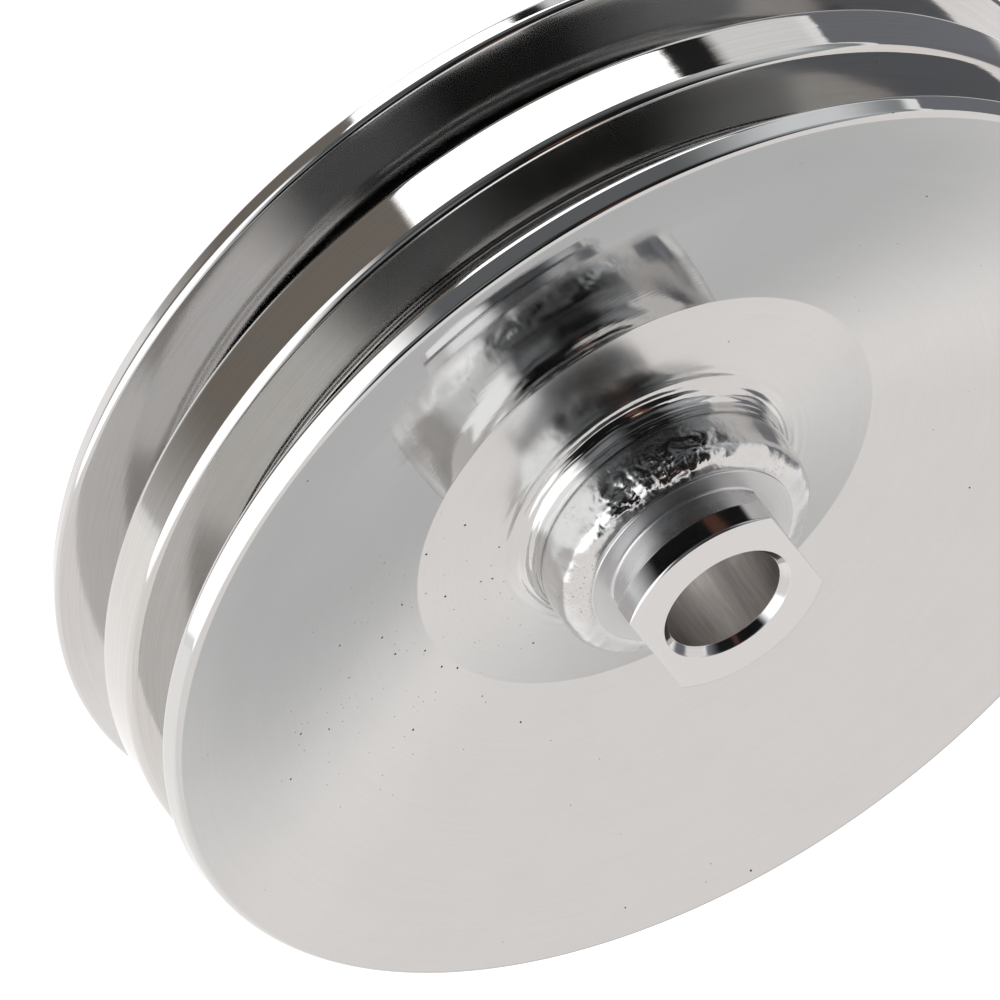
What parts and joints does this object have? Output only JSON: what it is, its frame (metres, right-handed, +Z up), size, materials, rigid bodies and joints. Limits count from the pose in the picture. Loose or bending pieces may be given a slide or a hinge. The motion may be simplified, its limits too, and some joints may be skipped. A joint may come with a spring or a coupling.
{
  "type": "v-belt pulley",
  "caption": "Double-groove V-belt drive pulley with a dished face, a flat land between the grooves and a welded hub with wrench flats and a puller groove.",
  "frame": {"origin": "on the pulley's axis, in the plane midway between the two belt grooves, inside the hub's bore", "axes": "+Y along the axis towards the back, where the shaft comes in; the nose of the hub faces -Y; +Z up; the wrench flats face +X and -X"},
  "size_m": [0.1736, 0.0515, 0.1736],
  "materials": {
    "face_chrome": "bright chrome plate over polished pressing",
    "rear_chrome": "bright chrome plate over polished pressing",
    "land_chrome": "bright chrome plate over polished pressing",
    "hub_chrome": "chrome plate over turned steel",
    "weld_chrome": "chrome plate over rough weld metal",
    "rear_weld": "thin chrome plate over rough weld metal",
    "plug_weld": "thin chrome plate over weld metal"
  },
  "bodies": {
    "root": {"front_sheave": "face_chrome", "rear_sheave": "rear_chrome", "divider_ring": "land_chrome", "hub": "hub_chrome", "front_weld_bead": "weld_chrome", "rear_weld_bead": "rear_weld", "foot_plug_welds": "plug_weld", "divider_plug_welds": "plug_weld"}
  },
  "joints": []
}
